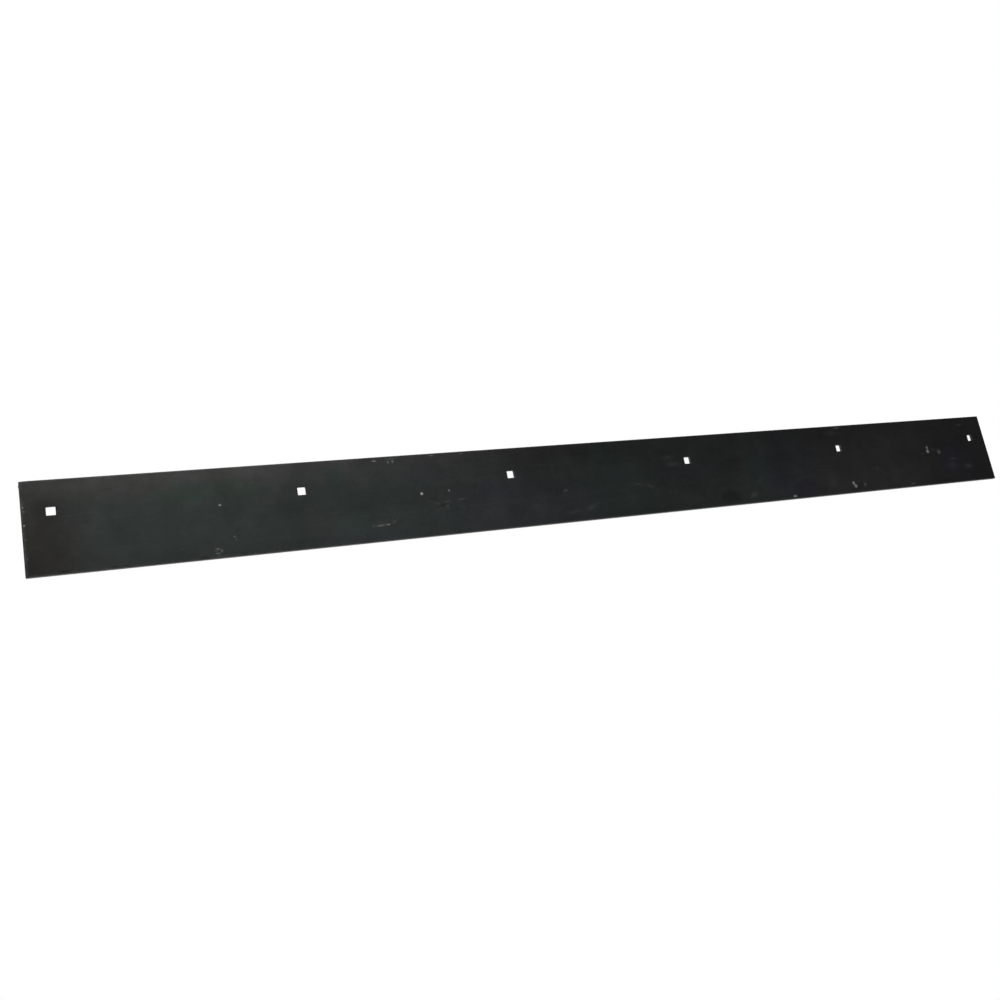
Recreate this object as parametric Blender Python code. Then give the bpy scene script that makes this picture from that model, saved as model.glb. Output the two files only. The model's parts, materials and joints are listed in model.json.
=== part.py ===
"""ATV plow wear bar: a flat steel bar, guillotine-sheared to size and punched
with a row of six square holes for carriage bolts.

Frame, in metres: +X runs along the bar, +Z points up from the cutting edge to
the bolt row, and the front (snow) face looks along -Y. The origin is at the
middle of the bar's length and thickness, on the ground line under the cutting
edge, so the bar stands as it does when it is bolted to a plow.

The bar is one solid. The punches that cut its holes are hidden helpers.
"""

import math

import bmesh
import bpy

INCH = 0.0254

# ---------------------------------------------------------------- dimensions
BAR_LENGTH = 60.0 * INCH  # along X, over the sheared ends
BAR_HEIGHT = 4.5 * INCH  # along Z
BAR_THICKNESS = 3 / 16 * INCH  # along Y
BAR_CORNER_RADIUS = 0.0007  # the four corners, seen from the front
BAR_CORNER_SEGMENTS = 3
FRONT_Y = -BAR_THICKNESS / 2

HOLE_COUNT = 6
HOLE_SIDE = 13 / 32 * INCH  # across flats, for the square neck of a 3/8 in bolt
HOLE_CORNER_RADIUS = 0.0008
HOLE_CORNER_SEGMENTS = 4
HOLE_FROM_END = 1.25 * INCH  # end of the bar to the first hole's centre
HOLE_FROM_TOP = 1.5 * INCH  # top edge to the hole row
HOLE_PITCH = (BAR_LENGTH - 2 * HOLE_FROM_END) / (HOLE_COUNT - 1)  # 11.5 in
PUNCH_OVERRUN = 0.002  # how far a punch reaches past each face of the bar

# A shear cut, as (depth behind the front face, distance in from the bar's
# overall outline): the rolled-over lip, the flat cut, and the lightly dressed
# burr at the back.
SHEAR_PROFILE = [
    (0.00000, 0.00110),
    (0.00005, 0.00078),
    (0.00016, 0.00050),
    (0.00034, 0.00026),
    (0.00062, 0.00008),
    (0.00100, 0.00000),
    (BAR_THICKNESS - 0.00020, 0.00000),
    (BAR_THICKNESS, 0.00018),
]

# A punched hole, as (depth behind the front face, growth of the half side): the
# rolled-over mouth, the straight land that the bolt's neck fits, and the
# breakout that widens towards the back.
PUNCH_PROFILE = [
    (-PUNCH_OVERRUN, 0.00052),
    (0.00000, 0.00052),
    (0.00006, 0.00032),
    (0.00018, 0.00014),
    (0.00040, 0.00003),
    (0.00062, 0.00000),
    (0.00170, 0.00000),
    (0.00200, 0.00006),
    (BAR_THICKNESS - 0.00035, 0.00026),
    (BAR_THICKNESS, 0.00034),
    (BAR_THICKNESS + PUNCH_OVERRUN, 0.00034),
]

SHARP_ANGLE = math.radians(30)  # edges that turn more than this stay crisp

STEEL_COLOUR = (0.030, 0.033, 0.032, 1.0)
STEEL_ROUGHNESS = 0.42
STEEL_METALLIC = 0.75


# ------------------------------------------------------------------ geometry
def hole_centres():
    """The (x, z) centre of each square hole, from -X to +X."""
    first = -BAR_LENGTH / 2 + HOLE_FROM_END
    row = BAR_HEIGHT - HOLE_FROM_TOP
    return [(first + HOLE_PITCH * i, row) for i in range(HOLE_COUNT)]


def rounded_rectangle(half_x, half_z, radius, segments):
    """Points of a rounded rectangle centred on (0, 0), going round from +X to +Z."""
    # Each corner's arc centre and the angle its arc starts at.
    corners = (
        (half_x - radius, half_z - radius, 0.0),
        (-half_x + radius, half_z - radius, 0.5 * math.pi),
        (-half_x + radius, -half_z + radius, math.pi),
        (half_x - radius, -half_z + radius, 1.5 * math.pi),
    )
    points = []
    for centre_x, centre_z, start in corners:
        for i in range(segments + 1):
            angle = start + 0.5 * math.pi * i / segments
            x = centre_x + radius * math.cos(angle)
            z = centre_z + radius * math.sin(angle)
            points.append((x, z))
    return points


def lofted_mesh(name, loops):
    """A closed mesh through equal-sized loops of points, capped at both ends."""
    builder = bmesh.new()
    vert_loops = []
    edge_loops = []
    for loop in loops:
        verts = [builder.verts.new(point) for point in loop]
        following = verts[1:] + verts[:1]
        vert_loops.append(verts)
        edge_loops.append([builder.edges.new(pair) for pair in zip(verts, following)])
    for near, far in zip(edge_loops, edge_loops[1:]):
        bmesh.ops.bridge_loops(builder, edges=near + far)
    builder.faces.new(vert_loops[0])
    builder.faces.new(vert_loops[-1])
    bmesh.ops.recalc_face_normals(builder, faces=builder.faces)
    mesh = bpy.data.meshes.new(name)
    builder.to_mesh(mesh)
    builder.free()
    return mesh


# ------------------------------------------------------------------ material
def steel():
    """Hot-rolled steel with its dark mill scale left on."""
    material = bpy.data.materials.new("mill_scale_steel")
    material.use_nodes = True
    shader = material.node_tree.nodes["Principled BSDF"]
    shader.inputs["Base Color"].default_value = STEEL_COLOUR
    shader.inputs["Roughness"].default_value = STEEL_ROUGHNESS
    shader.inputs["Metallic"].default_value = STEEL_METALLIC
    return material


# -------------------------------------------------------------------- pieces
def make_bar():
    """The sheared blank, before it is punched."""
    loops = []
    for depth, inset in SHEAR_PROFILE:
        ring = rounded_rectangle(
            half_x=BAR_LENGTH / 2 - inset,
            half_z=BAR_HEIGHT / 2 - inset,
            radius=BAR_CORNER_RADIUS,
            segments=BAR_CORNER_SEGMENTS,
        )
        loops.append([(x, FRONT_Y + depth, z + BAR_HEIGHT / 2) for x, z in ring])
    mesh = lofted_mesh("wear_bar", loops)
    mesh.materials.append(steel())
    mesh.shade_smooth()
    mesh.set_sharp_from_angle(angle=SHARP_ANGLE)
    bar = bpy.data.objects.new("wear_bar", mesh)
    bpy.context.scene.collection.objects.link(bar)
    return bar


def punch_mesh():
    """A square punch along Y, centred on the origin in X and Z."""
    loops = []
    for depth, growth in PUNCH_PROFILE:
        half = HOLE_SIDE / 2 + growth
        radius = HOLE_CORNER_RADIUS + growth
        ring = rounded_rectangle(half, half, radius, HOLE_CORNER_SEGMENTS)
        loops.append([(x, FRONT_Y + depth, z) for x, z in ring])
    return lofted_mesh("square_punch", loops)


def make_punches():
    """One cutter for each square hole, all sharing one mesh, in their own collection."""
    mesh = punch_mesh()
    punches = bpy.data.collections.new("square_punches")
    bpy.context.scene.collection.children.link(punches)
    for number, (x, z) in enumerate(hole_centres(), start=1):
        punch = bpy.data.objects.new(f"square_punch_{number}", mesh)
        punch.location = (x, 0.0, z)
        punch.hide_render = True
        punch.display_type = "WIRE"
        punches.objects.link(punch)
    return punches


def punch_holes(bar, punches):
    """Cut every punch out of the bar with one live modifier."""
    cut = bar.modifiers.new("punched_holes", "BOOLEAN")
    cut.operation = "DIFFERENCE"
    cut.operand_type = "COLLECTION"
    cut.collection = punches
    cut.solver = "EXACT"


def main():
    for obj in list(bpy.data.objects):
        bpy.data.objects.remove(obj)
    punch_holes(make_bar(), make_punches())


main()
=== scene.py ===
"""An ATV plow wear bar: one flat bar of hot-rolled steel, sheared to size and
punched with a row of square holes.

It stands on its lower long edge: length along X, thickness along Y with the front
face towards -Y, height up Z. The CAD solid gives the size and the places of the
holes. A fine surface with rolled-over lips, burnished and fractured cuts, punched
bores, nicks and a knocked corner replaces the plain one.
"""

import json
import math

import bmesh
import bpy
import numpy as np
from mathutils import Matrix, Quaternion, Vector, noise


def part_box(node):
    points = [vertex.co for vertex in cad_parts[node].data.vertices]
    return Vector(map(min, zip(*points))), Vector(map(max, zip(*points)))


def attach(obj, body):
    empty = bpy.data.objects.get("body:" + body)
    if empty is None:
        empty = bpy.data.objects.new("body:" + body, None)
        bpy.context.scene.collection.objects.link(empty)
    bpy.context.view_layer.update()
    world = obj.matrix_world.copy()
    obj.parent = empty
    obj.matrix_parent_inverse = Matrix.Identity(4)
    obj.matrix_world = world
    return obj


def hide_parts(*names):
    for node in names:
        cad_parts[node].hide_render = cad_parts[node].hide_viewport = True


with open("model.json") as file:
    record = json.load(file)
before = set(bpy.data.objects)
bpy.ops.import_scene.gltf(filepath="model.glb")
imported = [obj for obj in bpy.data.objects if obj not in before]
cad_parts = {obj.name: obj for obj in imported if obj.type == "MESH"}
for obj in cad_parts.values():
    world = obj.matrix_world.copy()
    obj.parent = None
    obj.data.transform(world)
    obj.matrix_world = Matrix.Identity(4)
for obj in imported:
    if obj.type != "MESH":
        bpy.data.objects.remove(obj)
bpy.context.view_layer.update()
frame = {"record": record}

MM = 0.001
LO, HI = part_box("wear_bar")
THICK = HI.y - LO.y
HOLES = sorted(  # centres, as (x, z)
    ((lo[0] + hi[0]) / 2, (lo[2] + hi[2]) / 2)
    for lo, hi in (opening["box_m"] for opening in frame["record"]["physics"]["openings"])
)
HOLE_HALF = 13 / 64 * 0.0254  # half of the square hole, across flats
HOLE_FILLET = 0.8 * MM

# ------------------------------------------------------------------ the surface
CELL = 3.0 * MM  # the face grid
BLOCK_HALF = 12.0 * MM  # the square patch of rings round each hole
BLOCK_CELLS = 8
HOLE_BORDER = 2.3 * MM  # from a hole out to the last flat ring round it
BORDER = 2.1 * MM  # from the outline in to the face grid
OUTLINE_FILLET = 0.8 * MM
HALF_ARC = 2  # segments from the middle of an outline corner to either end

# The rings of a cut run from the front face's border to the back's. Their depths
# are in mm behind the front face of a bar RING_SPAN thick.
RING_SPAN = 6.35
LIP_RINGS = 5  # rings 0 to 4 roll over the front lip
LAND_LAST = 7  # the last ring of the burnished land
FRACTURE_LAST = 13  # the last ring of the torn fracture

# (depth, distance in from the outline), in mm
CUT_RINGS = [
    (0.00, 1.25), (0.04, 0.90), (0.13, 0.60), (0.28, 0.34), (0.52, 0.14), (0.90, 0.02),
    (1.55, 0.00), (2.20, 0.00), (2.45, 0.10), (3.10, 0.13), (3.80, 0.12), (4.50, 0.11),
    (5.20, 0.09), (5.85, 0.06), (6.20, 0.04), (RING_SPAN, 0.22),
]
# (depth, growth of the hole's half side), in mm
PUNCH_RINGS = [
    (0.00, 1.20), (0.04, 0.84), (0.13, 0.54), (0.28, 0.30), (0.50, 0.12), (0.85, 0.00),
    (1.55, 0.00), (2.25, 0.00), (2.55, 0.08), (3.30, 0.13), (4.10, 0.18), (4.90, 0.24),
    (5.70, 0.29), (6.20, 0.33), (RING_SPAN, 0.50),
]

# How far each lip ring shows cut metal, and how far it is worn.
EDGE_LIP_CUT = (0.10, 0.25, 0.5, 0.75, 0.95)
EDGE_LIP_WEAR = (0.6, 1.0, 1.0, 0.8, 0.4)
EDGE_BACK_CUT = 0.6  # at the last ring
BORE_LIP_CUT = (0.05, 0.15, 0.3, 0.4, 0.45)
BORE_LIP_WEAR = (0.05, 0.15, 0.25, 0.25, 0.15)
BORE_CUT = 0.45  # the walls have dulled nearly as dark as the faces


def wave(x, y, z, size):
    """Smooth noise in -1..1 whose bumps are about size across."""
    return noise.noise(Vector((x / size, y / size, z / size)))


def rough(x, y, z, size):
    """Three octaves of wave, the largest about size across."""
    total, gain = 0.0, 1.0
    for _ in range(3):
        total += gain * wave(x + 3.1, y - 1.7, z + 0.9, size)
        size *= 0.5
        gain *= 0.55
    return total


def bell(distance):
    """1 at no distance, falling smoothly towards 0 past 1."""
    return math.exp(-distance * distance)


class Skin:
    """Collects the vertices, faces and per-vertex values of the bar's surface."""

    def __init__(self):
        self.points, self.faces = [], []
        self.values = {"cut": [], "burnish": [], "lip": []}

    def vert(self, x, y, z, **values):
        self.points.append((x, y, z))
        for name, column in self.values.items():
            column.append(values.get(name, 0.0))
        return len(self.points) - 1

    def band(self, first, second):
        """Quads between two equal closed loops of vertex indices."""
        n = len(first)
        for i in range(n):
            j = (i + 1) % n
            self.faces.append((first[i], first[j], second[j], second[i]))

    def step_up(self, coarse, fine, firsts):
        """Faces from a coarse closed loop to a finer one; firsts[k] is the fine
        vertex that sits beside coarse vertex k."""
        n = len(coarse)
        for k in range(n):
            m = (k + 1) % n
            last = firsts[m] if firsts[m] > firsts[k] else firsts[m] + len(fine)
            between = [fine[i % len(fine)] for i in range(last, firsts[k] - 1, -1)]
            self.faces.append((coarse[k], coarse[m], *between))

    def sleeve(self, front_loop, rings, back_loop, firsts):
        """A wall of fine rings that joins the coarse loops of the two faces."""
        self.step_up(front_loop, rings[0], firsts)
        for first, second in zip(rings, rings[1:]):
            self.band(first, second)
        self.step_up(back_loop, rings[-1], firsts)


def stops(lo, hi, centres):
    """Grid stops from lo to hi with an even patch of cells round each centre, and
    the stop that each patch starts at."""
    places, starts = [lo], []

    def extend(end, cells=None):
        begin = places[-1]
        cells = cells or max(1, round((end - begin) / CELL))
        places.extend([begin + (end - begin) * (k + 1) / cells for k in range(cells)])

    for centre in centres:
        extend(centre - BLOCK_HALF)
        starts.append(len(places) - 1)
        extend(centre + BLOCK_HALF, BLOCK_CELLS)
    extend(hi)
    return places, starts


def rounded_square(half, fillet, per_side):
    """Points of a rounded square, starting at the middle of the lower left corner
    and going round by way of the lower right."""
    quarter = per_side // 4
    inner = half - fillet

    def half_corner(x, start):
        angles = [math.radians(start + 45 * i / quarter) for i in range(quarter)]
        return [(x + fillet * math.cos(a), -inner + fillet * math.sin(a)) for a in angles]

    straight = [(-inner + 2 * inner * i / (2 * quarter), -half) for i in range(2 * quarter)]
    side = half_corner(-inner, -135) + straight + half_corner(inner, -90)
    points = []
    for k in range(4):
        turn = k * 0.5 * math.pi
        cos, sin = math.cos(turn), math.sin(turn)
        points += [(x * cos - z * sin, x * sin + z * cos) for x, z in side]
    return points


def grid_loop(i_lo, i_hi, j_lo, j_hi):
    """The grid places round a rectangle, from its lower left by way of its lower right."""
    return (
        [(i, j_lo) for i in range(i_lo, i_hi)]
        + [(i_hi, j) for j in range(j_lo, j_hi)]
        + [(i, j_hi) for i in range(i_hi, i_lo, -1)]
        + [(i_lo, j) for j in range(j_hi, j_lo, -1)]
    )


def make_face(skin, y, xs, zs, x_blocks, z_block):
    """The flat grid of one side. Returns its outer loop and each hole's inner loop."""
    columns, rows = len(xs) - 1, len(zs) - 1

    def in_block(i, j, first):
        """Whether (i, j) is in a hole's patch, counted from its place first."""
        return z_block + first <= j < z_block + BLOCK_CELLS and any(
            start + first <= i < start + BLOCK_CELLS for start in x_blocks
        )

    index = {}
    for i in range(columns + 1):
        for j in range(rows + 1):
            if not in_block(i, j, 1):
                index[i, j] = skin.vert(xs[i], y, zs[j])
    for i in range(columns):
        for j in range(rows):
            if not in_block(i, j, 0):
                corners = ((i, j), (i + 1, j), (i + 1, j + 1), (i, j + 1))
                skin.faces.append(tuple(index[c] for c in corners))
    hole_loops = []
    target = rounded_square(HOLE_HALF + HOLE_BORDER, HOLE_FILLET + HOLE_BORDER, BLOCK_CELLS)
    for start, (hole_x, hole_z) in zip(x_blocks, HOLES):
        rim = grid_loop(start, start + BLOCK_CELLS, z_block, z_block + BLOCK_CELLS)
        previous = [index[c] for c in rim]
        for inward in (0.34, 0.68, 1.0):
            ring = [
                skin.vert(
                    xs[i] + (hole_x + x - xs[i]) * inward,
                    y,
                    zs[j] + (hole_z + z - zs[j]) * inward,
                )
                for (i, j), (x, z) in zip(rim, target)
            ]
            skin.band(previous, ring)
            previous = ring
        hole_loops.append(previous)
    return [index[c] for c in grid_loop(0, columns, 0, rows)], hole_loops


def outline_plan(xs, zs):
    """The fine outline as (side or "corner", corner number, place or angle) entries,
    and the entry beside each vertex of the face grid's outer loop."""
    sides = [("bottom", xs), ("right", zs), ("top", xs[::-1]), ("left", zs[::-1])]
    plan, firsts = [], []
    for corner, (name, places) in enumerate(sides):
        # the corner that this side starts from: lower left, lower right, ...
        start = -135 + 90 * corner
        firsts.append(len(plan))
        for i in range(HALF_ARC + 1):
            plan.append(("corner", corner, start + 45 * i / HALF_ARC))
        for k in range(1, len(places)):
            plan.append((name, None, (places[k - 1] + places[k]) / 2))
            if k < len(places) - 1:
                firsts.append(len(plan))
                plan.append((name, None, places[k]))
        for i in range(HALF_ARC):
            plan.append(("corner", (corner + 1) % 4, start + 45 + 45 * i / HALF_ARC))
    return plan, firsts


def outline_point(entry, inset):
    """Where an outline entry lies at a distance in from the outline, and the way out."""
    kind, corner, place = entry
    if kind == "corner":
        radius = OUTLINE_FILLET
        x = (LO.x + inset + radius) if corner in (0, 3) else (HI.x - inset - radius)
        z = (LO.z + inset + radius) if corner in (0, 1) else (HI.z - inset - radius)
        out_x, out_z = math.cos(math.radians(place)), math.sin(math.radians(place))
        return x + radius * out_x, z + radius * out_z, out_x, out_z
    if kind == "bottom":
        return place, LO.z + inset, 0.0, -1.0
    if kind == "top":
        return place, HI.z - inset, 0.0, 1.0
    if kind == "left":
        return LO.x + inset, place, -1.0, 0.0
    return HI.x - inset, place, 1.0, 0.0


def nick_list(seed, count, span, widths, depths):
    """Random (place along the side, half width, depth), from ranges in mm."""
    rng = np.random.default_rng(seed)
    return [
        (rng.uniform(*span), rng.uniform(*widths) * MM, rng.uniform(*depths) * MM)
        for _ in range(count)
    ]


# Handling nicks in the front lip.
ALONG, UP = (LO.x, HI.x), (LO.z, HI.z)
NICKS = {
    "bottom": nick_list(seed=11, count=26, span=ALONG, widths=(0.8, 2.4), depths=(0.10, 0.45)),
    "top": nick_list(seed=12, count=14, span=ALONG, widths=(0.8, 2.0), depths=(0.08, 0.30)),
    "left": nick_list(seed=13, count=7, span=UP, widths=(0.7, 1.6), depths=(0.15, 0.45)),
    "right": nick_list(seed=14, count=5, span=UP, widths=(0.7, 1.6), depths=(0.10, 0.35)),
}


def nick(kind, place):
    """Depth of the deepest nick at a place on a side; the corners have none."""
    depth = 0.0
    for centre, half_width, deepest in NICKS.get(kind, ()):
        distance = (place - centre) / half_width
        if abs(distance) < 2.5:
            depth = max(depth, deepest * bell(distance))
    return depth


def is_burnished(n):
    return 1.0 if LIP_RINGS - 1 <= n <= LAND_LAST else 0.0


def edge_vertex(skin, n, entry):
    """One vertex of ring n of the sheared edges."""
    ring_depth, inset = CUT_RINGS[n]
    depth = ring_depth * THICK / RING_SPAN
    x, z, out_x, out_z = outline_point(entry, inset * MM)
    ring_y = LO.y + depth
    out = 0.0
    if n == 0:
        # the lip starts nearer or farther from the edge
        out = 0.16 * MM * wave(x, 0.3, z, size=17 * MM)
    if n < LIP_RINGS:
        # the lip's waviness fades with depth, and the nicks push it in and back
        dent = nick(entry[0], entry[2])
        out += 0.10 * MM * wave(x, 0.0, z, size=9 * MM) * (1 - n / 6)
        out -= dent * (1.0 - 0.12 * n)
        depth += dent * 0.7 * (1.0 - n / LIP_RINGS)
    elif n <= LAND_LAST:
        # the blade's fine score lines run through the thickness
        out -= 0.020 * MM * (0.5 + 0.5 * wave(x, 0.0, z, size=1.9 * MM))
    elif n <= FRACTURE_LAST:
        # torn metal
        out -= 0.075 * MM * (0.9 + rough(x, ring_y * 0.6, z, size=4.2 * MM))
        if n > LAND_LAST + 1:
            depth += 0.10 * MM * wave(x, ring_y, z, size=5 * MM)
    else:
        # the uneven back rim
        out -= 0.05 * MM * (0.6 + wave(x, 0.0, z, size=6 * MM))
    if n in (LAND_LAST, LAND_LAST + 1):
        # the line between land and fracture wanders
        depth += 0.24 * MM * rough(x, 0.0, z, size=14 * MM)
    in_lip = n < LIP_RINGS
    past_lip = 1.0 if n < len(CUT_RINGS) - 1 else EDGE_BACK_CUT
    return skin.vert(
        x + out_x * out,
        LO.y + depth,
        z + out_z * out,
        cut=EDGE_LIP_CUT[n] if in_lip else past_lip,
        burnish=is_burnished(n),
        lip=EDGE_LIP_WEAR[n] if in_lip else 0.0,
    )


def make_cut_edges(skin, front_loop, back_loop, xs, zs):
    """The sheared edges: rings from the front face's border round to the back's."""
    plan, firsts = outline_plan(xs, zs)
    rings = [[edge_vertex(skin, n, entry) for entry in plan] for n in range(len(CUT_RINGS))]
    skin.sleeve(front_loop, rings, back_loop, firsts)


def bore_vertex(skin, n, hole, offset, seed):
    """One vertex of ring n of a punched hole, at an offset from its centre."""
    reach = math.hypot(*offset)
    out_x, out_z = offset[0] / reach, offset[1] / reach
    x, z = hole[0] + offset[0], hole[1] + offset[1]
    depth = PUNCH_RINGS[n][0] * THICK / RING_SPAN
    out = 0.0
    if n < LIP_RINGS:
        out = 0.07 * MM * wave(x, seed, z, size=4 * MM)
    elif n <= LAND_LAST:
        out = 0.012 * MM * wave(x, seed, z, size=1.6 * MM)
    elif n <= FRACTURE_LAST:
        out = 0.07 * MM * rough(x, seed + depth * 0.6, z, size=2.6 * MM)
    if n in (LAND_LAST, LAND_LAST + 1):
        # the line between land and fracture wanders
        depth += 0.20 * MM * rough(x, seed, z, size=5 * MM)
    in_lip = n < LIP_RINGS
    return skin.vert(
        x + out_x * out,
        LO.y + depth,
        z + out_z * out,
        cut=BORE_LIP_CUT[n] if in_lip else BORE_CUT,
        burnish=is_burnished(n),
        lip=BORE_LIP_WEAR[n] if in_lip else 0.0,
    )


def make_bore(skin, front_loop, back_loop, hole, seed):
    """A punched hole: rings from the front face's border through to the back's."""
    rings = []
    for n, (_, growth) in enumerate(PUNCH_RINGS):
        grown = growth * MM
        outline = rounded_square(HOLE_HALF + grown, HOLE_FILLET + grown, 2 * BLOCK_CELLS)
        rings.append([bore_vertex(skin, n, hole, offset, seed) for offset in outline])
    firsts = [2 * k for k in range(4 * BLOCK_CELLS)]
    skin.sleeve(front_loop, rings, back_loop, firsts)


# Shallow dents in the front face: (x, z, radius, depth), in mm.
DENTS = [
    (-541, 67, 6, 0.07), (-353, 22, 9, 0.05), (-255, 44, 8, 0.05), (-66, 48, 9, 0.06),
    (64, 44, 8, 0.05), (262, 24, 10, 0.05), (451, 14, 7, 0.08), (625, 61, 7, 0.06),
    (-648, 60, 12, 0.04),
]
KNOCK_REACH = 9 * MM  # of the knocked upper left corner
BURR_REACH = 2.5 * MM  # how far in from the left end the burr starts
BURR_DROP = 6.5 * MM  # from the upper edge down to the burr


def bow(x, y, z):
    """How far the surface lies back from true: slow waves, drawn edges and dents."""
    back = 0.16 * MM * wave(x, 0.0, z * 0.6, size=0.32) + 0.05 * MM * wave(
        x, 2.0, z, size=0.085
    )
    # shearing leaves each long edge drawn back a little
    edge = min(z - LO.z, HI.z - z) / (9 * MM)
    back += 0.05 * MM * bell(edge) * (1 + wave(x, 5.0, 0.0, size=0.05))
    if y < 0:
        for dent_x, dent_z, radius, depth in DENTS:
            distance = math.hypot(x - dent_x * MM, z - dent_z * MM) / (radius * MM)
            if distance < 2.2:
                back += depth * MM * bell(distance)
    return back


def settle(points):
    """Bows the surface, knocks the upper left corner and raises a burr below it."""
    for k, (x, y, z) in enumerate(points):
        back = bow(x, y, z)
        from_end, from_top = x - LO.x, HI.z - z
        distance = math.hypot(from_end * 0.8, from_top)
        if distance < KNOCK_REACH:
            knock = (1 - distance / KNOCK_REACH) ** 2
            z -= 0.40 * MM * knock
            y += 0.30 * MM * knock
        if from_end < BURR_REACH:
            burr = bell((from_top - BURR_DROP) / (1.5 * MM))
            x -= 0.42 * MM * burr * (1 - from_end / BURR_REACH)
        points[k] = (x, y + back, z)


def face_outward(mesh):
    work = bmesh.new()
    work.from_mesh(mesh)
    bmesh.ops.recalc_face_normals(work, faces=work.faces)
    work.to_mesh(mesh)
    work.free()


def build_bar():
    xs, x_blocks = stops(LO.x + BORDER, HI.x - BORDER, [x for x, _ in HOLES])
    zs, z_blocks = stops(LO.z + BORDER, HI.z - BORDER, [HOLES[0][1]])
    skin = Skin()
    front_outer, front_holes = make_face(skin, LO.y, xs, zs, x_blocks, z_blocks[0])
    back_outer, back_holes = make_face(skin, HI.y, xs, zs, x_blocks, z_blocks[0])
    make_cut_edges(skin, front_outer, back_outer, xs, zs)
    for n, hole in enumerate(HOLES):
        make_bore(skin, front_holes[n], back_holes[n], hole, seed=0.7 * n)
    settle(skin.points)
    mesh = bpy.data.meshes.new("wear_bar_skin")
    mesh.from_pydata(skin.points, [], skin.faces)
    mesh.update()
    for name, column in skin.values.items():
        attribute = mesh.attributes.new(name, "FLOAT", "POINT")
        attribute.data.foreach_set("value", np.array(column, np.float32))
    face_outward(mesh)
    return mesh


# ---------------------------------------------------------------- node helpers
class Net:
    """Short forms for wiring shader nodes."""

    def __init__(self, tree):
        self.tree = tree
        tree.nodes.clear()

    def put(self, socket, value):
        """Links or sets a socket. Colours are given as (red, green, blue)."""
        if isinstance(value, bpy.types.NodeSocket):
            self.tree.links.new(value, socket)
        else:
            socket.default_value = (*value, 1.0) if socket.type == "RGBA" else value

    def add(self, kind, inputs=None, **settings):
        node = self.tree.nodes.new(kind)
        for key, value in settings.items():
            setattr(node, key, value)
        for key, value in (inputs or {}).items():
            self.put(node.inputs[key], value)
        return node

    def math(self, operation, *values):
        inputs = dict(enumerate(values))
        return self.add("ShaderNodeMath", inputs, operation=operation).outputs[0]

    def times(self, value, factor):
        return self.math("MULTIPLY", value, factor)

    def linear(self, value, gain, offset):
        return self.math("MULTIPLY_ADD", value, gain, offset)

    def span(self, value, over, to=(0.0, 1.0), smooth=True):
        """Maps the range over onto the range to."""
        inputs = {
            "Value": value,
            "From Min": over[0],
            "From Max": over[1],
            "To Min": to[0],
            "To Max": to[1],
        }
        kind = "SMOOTHSTEP" if smooth else "LINEAR"
        node = self.add("ShaderNodeMapRange", inputs, interpolation_type=kind, clamp=False)
        return node.outputs["Result"]

    # The Mix node repeats its socket names, so its sockets go by number.
    def mix(self, factor, first, second, **settings):
        inputs = {0: factor, 6: first, 7: second}
        return self.add("ShaderNodeMix", inputs, data_type="RGBA", **settings).outputs[2]

    def mix_value(self, factor, first, second):
        inputs = {0: factor, 2: first, 3: second}
        return self.add("ShaderNodeMix", inputs, data_type="FLOAT").outputs[0]

    def mapped(self, vector, scale, location=(0, 0, 0), rotation=(0, 0, 0), kind="POINT"):
        inputs = {
            "Vector": vector,
            "Location": location,
            "Rotation": rotation,
            "Scale": scale,
        }
        return self.add("ShaderNodeMapping", inputs, vector_type=kind).outputs[0]

    def noise(self, vector, scale=1.0, detail=4, roughness=0.6, distortion=0.0):
        inputs = {
            "Vector": vector,
            "Scale": scale,
            "Detail": detail,
            "Roughness": roughness,
            "Distortion": distortion,
        }
        return self.add("ShaderNodeTexNoise", inputs, noise_dimensions="3D").outputs[0]

    def cells(self, vector, scale):
        """Distance to the nearest of a scatter of points."""
        inputs = {"Vector": vector, "Scale": scale, "Randomness": 1.0}
        return self.add("ShaderNodeTexVoronoi", inputs, feature="F1").outputs["Distance"]

    def ramp(self, value, entries):
        node = self.add("ShaderNodeValToRGB", {0: value})
        node.color_ramp.interpolation = "LINEAR"
        elements = node.color_ramp.elements
        while len(elements) < len(entries):
            elements.new(1.0)
        for element, (position, colour) in zip(elements, entries):
            element.position = position
            element.color = (*colour, 1.0)
        return node.outputs[0]

    def attribute(self, name):
        return self.add("ShaderNodeAttribute", attribute_name=name).outputs["Fac"]


def new_material(name):
    material = bpy.data.materials.new(name)
    material.use_nodes = True
    return material


# --------------------------------------------------------------- mill scale steel
# The two faces are close together, so the patterns are stretched through the bar
# to keep the faces from looking alike.
THROUGH = 0.4445 / THICK
STRETCH = (1.0, THROUGH, 1.0)

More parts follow.
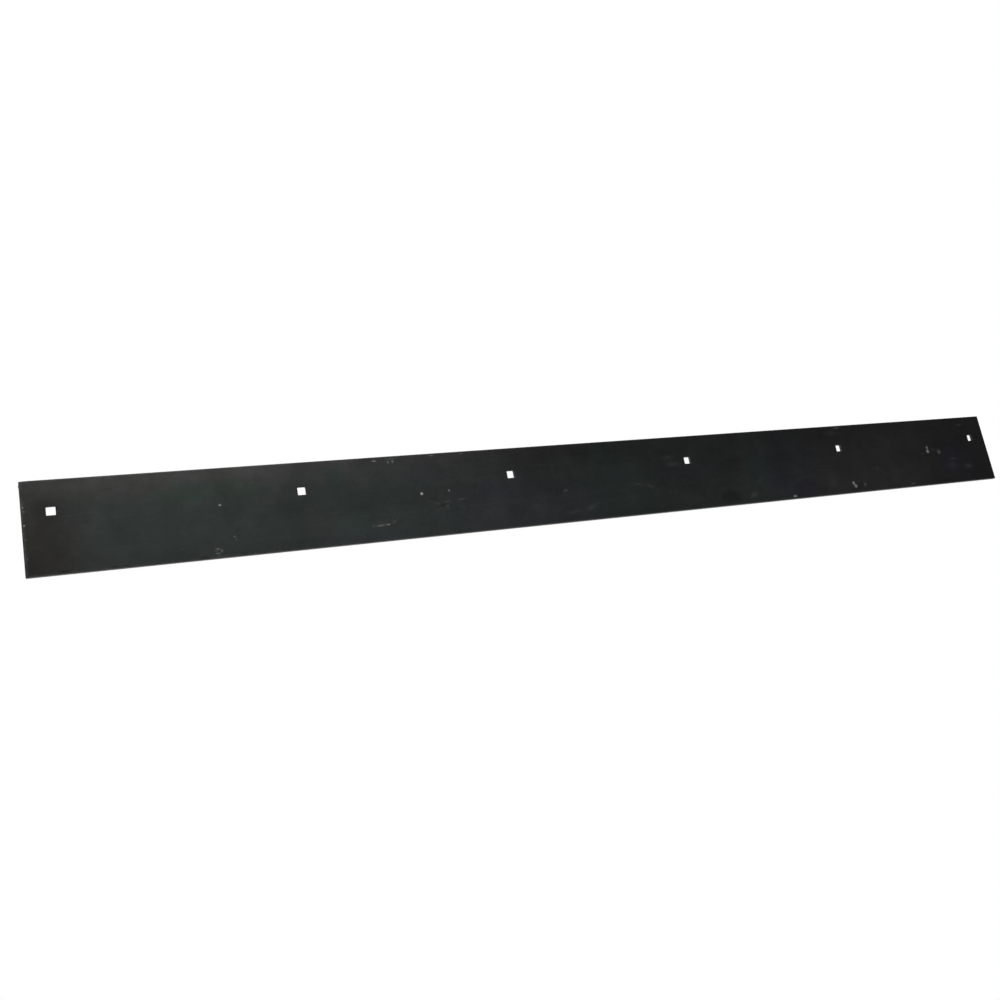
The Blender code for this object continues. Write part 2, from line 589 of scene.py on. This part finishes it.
# Marks on the front face where the dark scale is rubbed through, and painted glints on the
# sheared left end:
# (x mm, z mm, half length mm, half height mm, tilt deg, strength).
# A strength over 1 makes a solid bright mark, a low one a faint smear.
FRONT_SCUFFS_AND_GLINTS = [
    # left third
    (-540.8, 66.4, 2.5, 1.9, 0, 1.15), (-528, 25, 2.7, 3.0, 30, 0.42),
    (-526.5, 21, 1.8, 2.4, 0, 0.34), (-549.5, 11.6, 4.6, 1.8, -4, 0.60),
    (-544.8, 9.0, 2.0, 3.4, 14, 0.58), (-549.5, 6.3, 6.0, 1.5, 4, 0.55),
    (-552, 9.0, 3.6, 1.3, 0, 0.34), (-548.5, 2.9, 4.2, 1.3, 0, 0.36),
    (-592, 16, 8, 2.0, 8, 0.16), (-636, 39, 10, 2.0, 3, 0.10),
    (-653, 80, 10, 2.0, 6, 0.10), (-722, 47, 8, 1.8, -4, 0.13),
    (-600, 71, 12, 1.3, -25, 0.10), (-640, 98, 34, 9, 14, 0.12),
    (-497, 96, 1.4, 16, 3, 0.16), (-455, 47, 14, 1.4, 5, 0.09),
    (-432, 20, 8, 1.4, -12, 0.10),
    # the long rubbed streak and the smear it drags up to its right
    (-342, 21.4, 13.5, 2.7, 1, 0.52), (-334, 21.6, 7.5, 2.3, 1, 0.50),
    (-331.5, 21.7, 3.4, 2.1, 0, 0.82), (-352.7, 21.8, 3.6, 9, 0, 0.24),
    (-323, 24.6, 9, 3.2, 34, 0.30), (-340, 24, 28, 8, 5, 0.17),
    (-362, 41, 30, 3.4, -9, 0.10),
    # along the upper edge
    (-338, 108.8, 4.8, 2.0, -12, 0.80), (-319, 106.2, 2.9, 3.6, 0, 0.62),
    (-312.6, 106.6, 3.0, 3.8, 0, 0.66), (-316, 110.6, 14, 1.6, 0, 0.42),
    (-257.6, 111.0, 5.0, 1.5, 0, 0.62), (-214.1, 111.0, 5.0, 1.4, 0, 0.48),
    (443, 110, 15, 2.4, 3, 0.56), (430, 102, 24, 8, 4, 0.24),
    (581, 97, 15, 4.0, -4, 0.20), (600, 88, 16, 1.4, -6, 0.18),
    (714, 101, 12, 3.8, 0, 0.34),
    # middle
    (-279.6, 59.2, 2.7, 2.6, 0, 2.4), (-240.6, 60.5, 2.5, 3.0, 0, 0.84),
    (-236, 66, 2.0, 3.0, 30, 0.18), (-258.6, 43.4, 9, 4.6, -24, 0.27),
    (-246, 38.5, 3.8, 6.8, 12, 0.31), (-246, 45.5, 11, 3.4, 14, 0.30),
    (-224, 47.2, 14, 3.2, 6, 0.32), (-260, 34.0, 4.0, 4.6, 30, 0.20),
    (-270, 48, 10, 5.4, 10, 0.18), (-187.5, 27.6, 8, 2.0, 4, 0.20),
    (-206, 33, 10, 1.6, 4, 0.14), (-120, 26, 18, 12, 0, 0.18),
    (-86, 38, 9, 8, 0, 0.12), (-60, 14, 25, 7, 6, 0.28),
    (-31, 18, 16, 8, 20, 0.31), (-68.2, 45.4, 5.0, 1.4, -44, 0.60),
    (-65.0, 46.6, 5.0, 1.4, -44, 0.58), (53, 46, 20, 3.6, -4, 0.29),
    (72, 41.5, 13, 3.6, -22, 0.33), (24, 39, 12, 2.6, 12, 0.18),
    (36, 28, 18, 7, 0, 0.14), (80, 96, 7, 4, 0, 0.16),
    (112, 83, 22, 7, 0, 0.27), (118, 72, 23, 8, -6, 0.30),
    (104, 30, 2.4, 8, 10, 0.26), (113, 29, 2.4, 8, 8, 0.23),
    # right third
    (268, 34, 14, 8.0, 10, 0.27), (252, 13, 16, 8.0, 20, 0.38),
    (328, 4.4, 5.6, 2.8, 0, 1.5), (410, 20, 24, 13, 0, 0.26),
    (395, 42, 24, 3.2, 0, 0.22), (449.6, 16.0, 3.9, 4.8, 16, 1.7),
    (452.6, 11.0, 4.0, 4.4, 16, 1.9), (472.2, 12.2, 4.4, 5.6, 0, 0.66),
    (461.5, 18.2, 9.0, 1.4, 0, 0.34), (505, 36, 18, 9, -20, 0.24),
    (540, 16, 20, 10, 0, 0.20), (574, 5.6, 7.0, 3.0, 0, 0.6),
    (625.6, 64.4, 4.0, 5.4, 0, 1.1), (625.2, 58.2, 4.6, 4.4, 0, 1.8),
    (612, 54.4, 9, 1.5, 20, 0.40), (649.6, 55.6, 6.6, 7.2, -8, 0.72),
    (640, 60, 16, 10, 0, 0.20), (708.6, 26.8, 18, 9.0, -4, 0.31),
    (677, 42, 14, 3.0, 4, 0.34), (672, 30, 16, 13, 0, 0.24),
    # the sheared left end: painted glints, bright spots standing in for light glinting off the
    # cut
    (-759.4, 82.5, 1.5, 2.2, 0, 0.6), (-758.4, 77.5, 1.2, 1.5, 0, 0.7),
    (-759.2, 61.0, 1.4, 2.0, 0, 1.0), (-758.6, 44.0, 1.2, 2.4, 0, 0.4),
    (-758.4, 22.0, 1.2, 3.4, 0, 0.4),
]

# The same for the back face, which has lain on other steel.
BACK_SCUFFS = [
    (-668, 34, 34, 1.2, 7, 0.42), (-655, 29, 22, 0.9, 7, 0.30), (-560, 88, 3.4, 2.2, 0, 1.1),
    (-552, 84, 2.0, 2.0, 0, 0.6), (-428, 12, 26, 1.6, -3, 0.46), (-395, 62, 48, 16, 4, 0.13),
    (-236, 96, 4.2, 2.0, 20, 0.9), (-150, 30, 60, 1.3, 2, 0.34), (-138, 26, 44, 1.0, 2, 0.26),
    (-20, 74, 3.0, 3.6, 0, 1.3), (-14, 69, 2.2, 2.2, 0, 0.7), (40, 20, 54, 14, -5, 0.14),
    (176, 92, 30, 1.2, -12, 0.40), (252, 46, 2.6, 2.2, 0, 0.9), (330, 8, 12, 2.4, 0, 0.60),
    (402, 70, 44, 12, 6, 0.14), (497, 27, 30, 1.3, 10, 0.38), (566, 58, 4.6, 2.8, -30, 1.2),
    (650, 100, 16, 2.0, -2, 0.42), (704, 40, 26, 12, 0, 0.16),
]

# Darker smears: (x mm, z mm, half length mm, half height mm, strength).
SMEARS = [
    (-528, 33, 4, 6, 0.22), (-514, 50, 9, 9, 0.16), (-430, 84, 14, 8, 0.12),
    (-340, 47, 44, 18, 0.13), (-255.5, 37.6, 6.5, 3.8, 0.46), (-264, 49, 6, 4, 0.20),
    (-237, 31, 7, 5, 0.16), (-199.4, 28.1, 6.5, 3.2, 0.18), (-192, 79, 9, 5, 0.14),
    (-201, 66, 6, 5, 0.14), (-77, 79, 7, 8, 0.18), (93, 43, 9, 9, 0.22),
    (152, 11, 10, 8, 0.22), (208, 12, 24, 12, 0.34), (461.5, 12, 4.4, 8, 0.30),
    (637, 68, 12, 4, 0.36), (610, 51, 8, 3.0, 0.30), (645, 63, 7, 4, 0.28),
    (702, 34, 9, 4, 0.24), (716, 12, 16, 7, 0.22),
]

# Where the oxide cooled to another colour:
# (x mm, z mm, half length mm, half height mm, (red, green, blue) factors).
TINTS = [
    (-330, 55, 440, 16, (0.94, 0.94, 0.94)), (-748, 38, 52, 78, (0.855, 0.84, 0.81)),
    (-738, 42, 22, 22, (0.99, 0.98, 0.88)), (-736, 8, 34, 17, (0.98, 0.97, 0.92)),
    (-618, 97, 36, 15, (1.06, 1.03, 0.96)), (-692, 99, 22, 15, (1.00, 1.01, 0.94)),
    (-581, 86, 60, 14, (0.88, 1.02, 0.93)), (-655, 82, 42, 22, (1.14, 1.12, 1.12)),
    (-509, 87, 40, 16, (0.87, 1.01, 0.91)), (-610, 30, 95, 34, (0.99, 1.00, 1.03)),
    (-468, 78, 52, 14, (1.08, 0.99, 1.03)), (-428, 36, 22, 36, (1.08, 0.99, 1.02)),
    (-396, 98, 18, 20, (0.85, 1.02, 0.96)), (-370, 27, 26, 16, (0.95, 1.06, 1.00)),
    (-362, 7, 80, 17, (1.04, 0.98, 1.10)), (-270, 86, 34, 22, (0.96, 0.92, 1.00)),
    (-282, 104, 60, 16, (1.02, 0.99, 1.01)), (-120, 26, 165, 58, (1.01, 0.98, 1.09)),
    (-178, 58, 24, 16, (1.01, 0.97, 1.08)), (-70, 108, 105, 22, (0.95, 0.92, 0.92)),
    (24, 58, 88, 104, (0.89, 1.02, 0.95)), (5, 98, 20, 26, (0.86, 1.01, 0.98)),
    (12, 64, 20, 20, (0.98, 0.98, 1.12)), (138, 62, 62, 22, (1.02, 0.97, 1.11)),
    (205, 12, 22, 16, (0.92, 0.92, 0.90)), (268, 44, 36, 66, (0.97, 1.08, 1.07)),
    (252, 65, 18, 11, (0.91, 1.01, 0.99)), (328, 48, 52, 74, (0.94, 0.98, 1.12)),
    (338, 74, 46, 15, (0.92, 0.93, 0.94)), (348, 14, 32, 20, (0.98, 0.91, 0.98)),
    (690, 36, 54, 62, (0.99, 0.95, 1.07)), (674, 41, 30, 26, (1.13, 1.10, 1.32)),
    (728, 36, 26, 34, (0.94, 0.94, 0.97)),
]

# Colour of the scale from the left end (0) to the right (1), in bands up the face, with painted
# sheen and shade over the oxide's own tone (lighter high on the left, darker at both ends):
# (place, (red, green, blue)).
UPPER_BAND = [
    (0.00, (0.0305, 0.0302, 0.0295)), (0.06, (0.0396, 0.0392, 0.0384)),
    (0.14, (0.0412, 0.0408, 0.0400)), (0.18, (0.0362, 0.0362, 0.0355)),
    (0.22, (0.0350, 0.0354, 0.0348)), (0.28, (0.0322, 0.0340, 0.0330)),
    (0.34, (0.0374, 0.0384, 0.0374)), (0.40, (0.0360, 0.0370, 0.0360)),
    (0.46, (0.0342, 0.0350, 0.0342)), (0.56, (0.0362, 0.0376, 0.0366)),
    (0.70, (0.0370, 0.0376, 0.0374)), (0.85, (0.0324, 0.0324, 0.0322)),
    (1.00, (0.0312, 0.0311, 0.0309)),
]
MIDDLE_BAND = [
    (0.00, (0.0238, 0.0236, 0.0229)), (0.03, (0.0258, 0.0256, 0.0248)),
    (0.07, (0.0270, 0.0334, 0.0308)), (0.14, (0.0250, 0.0312, 0.0288)),
    (0.20, (0.0244, 0.0309, 0.0284)), (0.28, (0.0276, 0.0348, 0.0324)),
    (0.34, (0.0345, 0.0410, 0.0386)), (0.42, (0.0372, 0.0416, 0.0400)),
    (0.52, (0.0382, 0.0426, 0.0406)), (0.62, (0.0366, 0.0420, 0.0396)),
    (0.70, (0.0360, 0.0400, 0.0384)), (0.76, (0.0406, 0.0407, 0.0406)),
    (0.86, (0.0430, 0.0430, 0.0428)), (0.91, (0.0336, 0.0333, 0.0333)),
    (1.00, (0.0246, 0.0243, 0.0243)),
]
# how much paler the colour is near the lower edge, stop by stop: painted sheen where the lower
# face catches more light
PALER = (0, 0, 0.01, 0.02, 0.04, 0.22, 0.14, 0.17, 0.13, 0.15, 0.23, 0.24, 0.15, 0.03, 0)
BOTTOM_BAND = [
    (place, tuple(c * (1 + more) for c in colour))
    for (place, colour), more in zip(MIDDLE_BAND, PALER)
]
# Colour of a scuff, or of a painted glint, by its strength.
RUBBED_AND_GLINTING = [
    (0.00, (0.052, 0.055, 0.055)), (0.30, (0.084, 0.088, 0.088)),
    (0.60, (0.165, 0.170, 0.170)), (1.00, (0.430, 0.435, 0.432)),
]


class MillScale(Net):
    """The nodes of the steel, built from the bar's own coordinates."""

    def __init__(self, tree):
        super().__init__(tree)
        self.where = self.add("ShaderNodeTexCoord").outputs["Object"]
        axes = self.add("ShaderNodeSeparateXYZ", {0: self.where})
        self.x, y, self.z = axes.outputs
        self.solid = self.mapped(self.where, scale=STRETCH)
        self.cut = self.attribute("cut")
        self.burnish = self.attribute("burnish")
        # 1 on the front face, 0 from a little behind the bar's middle
        self.front = self.span(y, over=(-0.0012, 0.0004), to=(1.0, 0.0))
        self.grain = self.pattern(scale=620.0, roughness=0.7)
        self.score = self.noise(
            self.mapped(self.where, scale=(1500.0, 60.0, 1500.0)), detail=3
        )
        self.torn = self.noise(
            self.mapped(self.where, scale=(900.0, 700.0, 900.0)), roughness=0.7
        )

    def pattern(self, **look):
        """Noise in the stretched coordinates."""
        return self.noise(self.solid, **look)

    def cut_share(self, to=(0.0, 1.0)):
        return self.span(self.cut, over=(0.35, 0.95), to=to)

    def spot(self, vector, x, z, half_length, half_height, tilt=0.0):
        """1 at a spot's centre, falling evenly to 0 at its elliptical rim."""
        local = self.mapped(
            vector,
            location=(x * MM, 0.0, z * MM),
            rotation=(0.0, -math.radians(tilt), 0.0),
            scale=(half_length * MM, 1.0, half_height * MM),
            kind="TEXTURE",
        )
        gradient = self.add(
            "ShaderNodeTexGradient", {0: local}, gradient_type="SPHERICAL"
        )
        return gradient.outputs["Fac"]

    def banded_scale_and_sheen(self):
        """Colour along and up the bar: the oxide's own tone with painted sheen and shade laid
        in, lighter where the face catches the light.
        """
        drift = self.pattern(scale=7.0, detail=3, roughness=0.55, distortion=0.4)
        left_to_right = self.span(
            self.x, over=(LO.x, HI.x), to=(-0.05, 0.95), smooth=False
        )
        along = self.linear(drift, gain=0.10, offset=left_to_right)
        upper = self.ramp(along, UPPER_BAND)
        height = self.linear(
            self.pattern(scale=12.0, detail=3),
            gain=0.040,
            offset=self.math("SUBTRACT", self.z, 0.020),
        )
        lower = self.mix(
            self.span(height, over=(0.074, 0.016)),
            self.ramp(along, MIDDLE_BAND),
            self.ramp(along, BOTTOM_BAND),
        )
        return self.mix(self.span(height, over=(0.072, 0.106)), lower, upper)

    def wandering(self):
        """Coordinates shifted about, so that spots drawn in them get uneven edges."""
        look = {"scale": 26.0, "roughness": 0.62}
        elsewhere = self.mapped(self.where, scale=STRETCH, location=(3.0, 0.0, 5.0))
        shift = self.add(
            "ShaderNodeCombineXYZ",
            {
                "X": self.linear(self.pattern(**look), gain=0.056, offset=-0.028),
                "Z": self.linear(self.noise(elsewhere, **look), gain=0.044, offset=-0.022),
            },
        )
        inputs = {0: self.where, 1: shift.outputs[0]}
        return self.add("ShaderNodeVectorMath", inputs, operation="ADD").outputs[0]

    def tone(self):
        """Light and dark: broad clouds, smaller patches, rolling streaks and grain."""
        clouds = self.pattern(scale=13.0, distortion=0.4)
        patches = self.pattern(scale=38.0, roughness=0.62, distortion=0.6)
        streaks = self.noise(self.mapped(self.where, scale=(3.5, THROUGH, 210.0)))
        tone = self.times(
            self.span(clouds, over=(0.30, 0.70), to=(0.93, 1.07)),
            self.span(patches, over=(0.32, 0.68), to=(0.93, 1.08)),
        )
        tone = self.times(tone, self.span(streaks, over=(0.3, 0.7), to=(0.965, 1.035)))
        return self.times(tone, self.span(self.grain, over=(0.30, 0.70), to=(0.86, 1.14)))

    def scale_and_sheen_colour(self):
        """The unmarked scale with its tints, tones, dark smears and painted sheen and shade
        bands.
        """
        scale = self.banded_scale_and_sheen()
        moved = self.wandering()
        tint_strength = self.linear(self.front, gain=0.7, offset=0.3)
        for *place, factors in TINTS:
            here = self.span(
                self.spot(moved, *place), over=(0.0, 0.45), to=(0.0, tint_strength)
            )
            scale = self.mix(here, scale, factors, blend_type="MULTIPLY")
        # the tone may pass 1, so the factor isn't clamped
        scale = self.mix(self.tone(), (0.0, 0.0, 0.0), scale, clamp_factor=False)
        for *place, strength in SMEARS:
            here = self.span(self.spot(moved, *place), over=(0.0, 0.6), to=(0.0, strength))
            scale = self.mix(self.times(here, self.front), scale, (0.012, 0.012, 0.012))
        return scale

    def flakes(self):
        """Small flakes where the scale has popped off and shows greyer steel."""
        distance = self.cells(self.mapped(self.where, scale=STRETCH), scale=95.0)
        size = self.span(
            self.pattern(scale=24.0, detail=2, roughness=0.5),
            over=(0.50, 0.72),
            to=(0.0, 0.20),
        )
        ragged = self.math("SUBTRACT", self.pattern(scale=700.0, detail=3), 0.5)
        shape = self.math("ADD", distance, self.times(ragged, 0.22))
        shape = self.math("SUBTRACT", shape, size)
        flakes = self.span(shape, over=(-0.03, 0.02), to=(1.0, 0.0))
        areas = self.pattern(scale=9.0, detail=2, roughness=0.5)
        flakes = self.times(flakes, self.span(areas, over=(0.46, 0.60)))
        # fewer on the front face
        return self.times(flakes, self.linear(self.front, gain=-0.7, offset=1.0))

    def gathered(self, vector, places):
        """The strongest of a table of scuffs at each point."""
        marks = [self.times(self.spot(vector, *place), power) for *place, power in places]
        most = marks[0]
        for mark in marks[1:]:
            most = self.math("MAXIMUM", most, mark)
        return self.math("MINIMUM", most, 1.0)

    def scuffs_and_glints(self):
        """Scuffs, ragged at their rims: one set on each face; the front set also holds the
        painted glints of the left end.
        """
        flat = self.mapped(self.where, scale=(1.0, 0.0, 1.0))
        total = self.mix_value(
            self.front, self.gathered(flat, BACK_SCUFFS), self.gathered(flat, FRONT_SCUFFS_AND_GLINTS)
        )
        ragged = self.noise(
            self.mapped(self.where, scale=(420.0, 300.0, 640.0)), detail=3, roughness=0.65
        )
        ragged = self.linear(ragged, gain=0.34, offset=-0.17)
        scuffs_and_glints = self.linear(ragged, gain=self.span(total, over=(0.0, 0.12)), offset=total)
        return self.math("MINIMUM", self.math("MAXIMUM", scuffs_and_glints, 0.0), 1.0)

    def rim(self):
        """Lighter along the left end and the lower edge, fading to the right: partly scale
        rubbed thin by handling, partly a painted highlight where these edges catch the light.
        """
        patchy = self.noise(
            self.mapped(self.where, scale=(60.0, 100.0, 60.0)), roughness=0.65
        )
        left = self.span(self.x, over=(LO.x + 0.2 * MM, LO.x + 5.0 * MM), to=(1.0, 0.0))
        # the lower edge's painted highlight fades from left to right, as the light does
        low = self.times(
            self.span(self.z, over=(LO.z + 0.2 * MM, LO.z + 3.6 * MM), to=(1.0, 0.0)),
            self.span(self.x, over=(LO.x, HI.x), to=(0.75, 0.15), smooth=False),
        )
        rim = self.times(self.math("MAXIMUM", left, low), self.front)
        return self.times(rim, self.span(patchy, over=(0.36, 0.60), to=(0.25, 1.0)))

    def hairlines(self, angle, threshold, seed):
        """Hairline scratches in one direction, kept in some areas only."""
        lines = self.noise(
            self.mapped(
                self.where,
                rotation=(0.0, math.radians(angle), 0.0),
                scale=(9.0, 40.0, 900.0),
                location=(seed, seed, seed),
            ),
            detail=2,
            roughness=0.5,
        )
        areas = self.pattern(scale=19.0 + seed, detail=2, roughness=0.5)
        keep = self.span(areas, over=(0.52, 0.66))
        return self.times(self.span(lines, over=(threshold, threshold + 0.05)), keep)

    def cut_metal(self):
        """Burnished land and torn fracture, browned in places."""
        land = self.mix(
            self.span(self.score, over=(0.3, 0.7)), (0.105, 0.107, 0.110), (0.175, 0.177, 0.179)
        )
        fracture = self.mix(
            self.span(self.torn, over=(0.3, 0.7)), (0.055, 0.055, 0.055), (0.120, 0.117, 0.113)
        )
        metal = self.mix(self.burnish, fracture, land)
        brown = self.span(self.pattern(scale=70.0, roughness=0.65), over=(0.46, 0.68))
        return self.mix(self.times(brown, 0.30), metal, (0.066, 0.048, 0.036))

    def colour(self, flakes, scuffs_and_glints):
        """The scale with its painted sheen, then each kind of mark over it (the rim partly a
        painted highlight, the scuffs holding painted glints), then the cuts and worn lips.
        """
        hair = self.math(
            "MAXIMUM",
            self.hairlines(angle=8, threshold=0.70, seed=1.0),
            self.hairlines(angle=-21, threshold=0.71, seed=4.0),
        )
        colour = self.scale_and_sheen_colour()
        for mask, strength, mark_colour in (
            (flakes, 0.55, (0.066, 0.068, 0.068)),
            (hair, 0.35, (0.085, 0.087, 0.088)),
            # the rim: rubbed scale and a painted highlight on the lit edges
            (self.rim(), 0.55, (0.078, 0.081, 0.081)),
        ):
            colour = self.mix(self.times(mask, strength), colour, mark_colour)
        # scuffs, with the painted glints of the left end among them
        rubbed_and_glinting = self.ramp(scuffs_and_glints, RUBBED_AND_GLINTING)
        rubbed_and_glint_share = self.span(scuffs_and_glints, over=(0.02, 0.42), to=(0.0, 0.95))
        colour = self.mix(rubbed_and_glint_share, colour, rubbed_and_glinting)
        colour = self.mix(self.cut_share(), colour, self.cut_metal())
        wear = self.pattern(scale=130.0, roughness=0.7)
        worn = self.times(
            self.attribute("lip"), self.span(wear, over=(0.46, 0.62), to=(0.20, 0.85))
        )
        return self.mix(worn, colour, (0.104, 0.106, 0.106))

    def roughness(self, flakes, scuffs_and_glints):
        sheen = self.pattern(scale=17.0, distortion=0.5)
        roughness = self.span(sheen, over=(0.3, 0.7), to=(0.34, 0.44))
        for part in (
            self.span(self.grain, over=(0.3, 0.7), to=(-0.04, 0.05)),
            self.times(flakes, 0.08),
            self.times(scuffs_and_glints, 0.10),
        ):
            roughness = self.math("ADD", roughness, part)
        cut_roughness = self.math(
            "SUBTRACT",
            self.span(self.torn, over=(0.3, 0.7), to=(0.48, 0.62)),
            self.times(self.burnish, 0.20),
        )
        return self.mix_value(self.cut_share(), roughness, cut_roughness)

    def relief(self, flakes):
        """Bump from the scale's orange peel, pits and flakes, and the cuts' marks."""
        holes = self.cells(self.mapped(self.where, scale=STRETCH), scale=340.0)
        smooth_areas = self.pattern(scale=150.0, detail=2, roughness=0.5)
        pits = self.math(
            "MAXIMUM",
            self.span(holes, over=(0.05, 0.30)),
            self.span(smooth_areas, over=(0.48, 0.60), to=(1.0, 0.0)),
        )
        relief = self.times(self.pattern(scale=210.0), 0.55)
        relief = self.math("ADD", relief, self.times(self.grain, 0.25))
        relief = self.math("ADD", relief, self.times(pits, 0.30))
        relief = self.math("SUBTRACT", relief, self.times(flakes, 0.45))
        unburnished = self.math("SUBTRACT", 1.0, self.burnish)
        marks = self.math(
            "ADD",
            self.times(self.times(self.score, self.burnish), 0.6),
            self.times(self.times(self.torn, unburnished), 1.6),
        )
        height = self.mix_value(self.cut_share(), relief, marks)
        inputs = {"Strength": 0.55, "Distance": 0.00009, "Height": height}
        return self.add("ShaderNodeBump", inputs).outputs[0]


def mill_scale_steel():
    material = new_material("mill_scale_steel")
    net = MillScale(material.node_tree)
    flakes = net.flakes()
    scuffs_and_glints = net.scuffs_and_glints()
    shader = net.add(
        "ShaderNodeBsdfPrincipled",
        {
            "Base Color": net.colour(flakes, scuffs_and_glints),
            "Roughness": net.roughness(flakes, scuffs_and_glints),
            "Metallic": net.cut_share(to=(0.75, 0.92)),
            "Specular IOR Level": 0.42,
            "Normal": net.relief(flakes),
        },
    )
    net.add("ShaderNodeOutputMaterial", {"Surface": shader.outputs[0]})
    return material


# ------------------------------------------------------------------ floor and light
def pale_floor():
    """A pale surface, seen by the camera only from above, that fades to white."""
    material = new_material("pale_floor")
    net = Net(material.node_tree)
    where = net.add("ShaderNodeTexCoord").outputs["Object"]
    path = net.add("ShaderNodeLightPath")
    geometry = net.add("ShaderNodeNewGeometry")
    flat = net.add("ShaderNodeBsdfDiffuse", {"Color": (0.785, 0.788, 0.790)})
    glow = net.add("ShaderNodeEmission", {"Strength": 0.17})
    pale = net.add("ShaderNodeAddShader", {0: flat.outputs[0], 1: glow.outputs[0]})
    white = net.add("ShaderNodeEmission")
    distance = net.add("ShaderNodeVectorMath", {0: where}, operation="LENGTH")
    whiteness = net.span(distance.outputs["Value"], over=(0.85, 2.6))
    fade = net.add(
        "ShaderNodeMixShader", {0: whiteness, 1: pale.outputs[0], 2: white.outputs[0]}
    )
    clear = net.add("ShaderNodeBsdfTransparent")
    from_above = net.math("SUBTRACT", 1.0, geometry.outputs["Backfacing"])
    seen = net.times(path.outputs["Is Camera Ray"], from_above)
    mix = net.add("ShaderNodeMixShader", {0: seen, 1: clear.outputs[0], 2: fade.outputs[0]})
    net.add("ShaderNodeOutputMaterial", {"Surface": mix.outputs[0]})
    return material


def floor():
    half = 9.0
    z = LO.z - 0.00015  # just under the bar
    mesh = bpy.data.meshes.new("floor")
    corners = [(-half, -half, z), (half, -half, z), (half, half, z), (-half, half, z)]
    mesh.from_pydata(corners, [], [(0, 1, 2, 3)])
    sheet = bpy.data.objects.new("floor", mesh)
    bpy.context.scene.collection.objects.link(sheet)
    mesh.materials.append(pale_floor())


def surround():
    """White to the camera. As light it is a bright sweep behind and below the bar
    and a dim room in front of it."""
    world = bpy.data.worlds.new("studio")
    bpy.context.scene.world = world
    world.use_nodes = True
    net = Net(world.node_tree)
    where = net.add("ShaderNodeTexCoord").outputs["Generated"]
    axes = net.add("ShaderNodeSeparateXYZ", {0: where})
    behind = net.span(axes.outputs["Y"], over=(-0.10, 0.55))
    below = net.span(axes.outputs["Z"], over=(0.05, -0.60))
    sweep = net.math("MAXIMUM", behind, net.times(below, 0.75))
    glow = net.mix(sweep, (0.152, 0.153, 0.155), (0.92, 0.92, 0.92))
    light = net.add("ShaderNodeBackground", {"Color": glow})
    white = net.add("ShaderNodeBackground", {"Color": (1.0, 1.0, 1.0)})
    seen = net.add("ShaderNodeLightPath").outputs["Is Camera Ray"]
    mix = net.add("ShaderNodeMixShader", {0: seen, 1: light.outputs[0], 2: white.outputs[0]})
    net.add("ShaderNodeOutputWorld", {"Surface": mix.outputs[0]})


def softbox(name, place, aim, width, height, watts):
    data = bpy.data.lights.new(name, "AREA")
    data.shape = "RECTANGLE"
    data.size, data.size_y = width, height
    data.energy = watts
    light = bpy.data.objects.new(name, data)
    light.location = place
    light.rotation_euler = (Vector(aim) - Vector(place)).to_track_quat("-Z", "Y").to_euler()
    bpy.context.scene.collection.objects.link(light)


def camera(place, aim, roll, lens):
    """A positive roll, in degrees, tips the camera's up towards its right."""
    data = bpy.data.cameras.new("camera")
    data.sensor_width = 36.0
    data.lens = lens
    data.clip_start, data.clip_end = 0.01, 100.0
    viewer = bpy.data.objects.new("camera", data)
    forward = (Vector(aim) - Vector(place)).normalized()
    turn = forward.to_track_quat("-Z", "Y")
    viewer.rotation_mode = "QUATERNION"
    viewer.location = place
    viewer.rotation_quaternion = Quaternion(forward, math.radians(roll)) @ turn
    bpy.context.scene.collection.objects.link(viewer)
    bpy.context.scene.camera = viewer


# ------------------------------------------------------------------------ the scene
mesh = build_bar()
bar = bpy.data.objects.new("steel_wear_bar", mesh)
bpy.context.scene.collection.objects.link(bar)
mesh.shade_smooth()
mesh.set_sharp_from_angle(angle=math.radians(38))
mesh.materials.append(mill_scale_steel())
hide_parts("wear_bar")
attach(bar, "root")

floor()
surround()
softbox(
    "key_left",
    place=(-0.42, -2.3, 1.05),
    aim=(-0.40, 0.0, 0.05),
    width=1.8,
    height=1.0,
    watts=12.6,
)
softbox(
    "overhead",
    place=(0.0, -0.3, 2.4),
    aim=(0.0, 0.0, 0.0),
    width=2.6,
    height=1.6,
    watts=30.0,
)
camera(
    place=(-0.7065, -1.2179, -0.2502),
    aim=(-0.1693, -0.0024, 0.0409),
    roll=10.571,
    lens=35.689,
)

bpy.context.scene.view_settings.view_transform = "Standard"
bpy.context.scene.view_settings.look = "None"
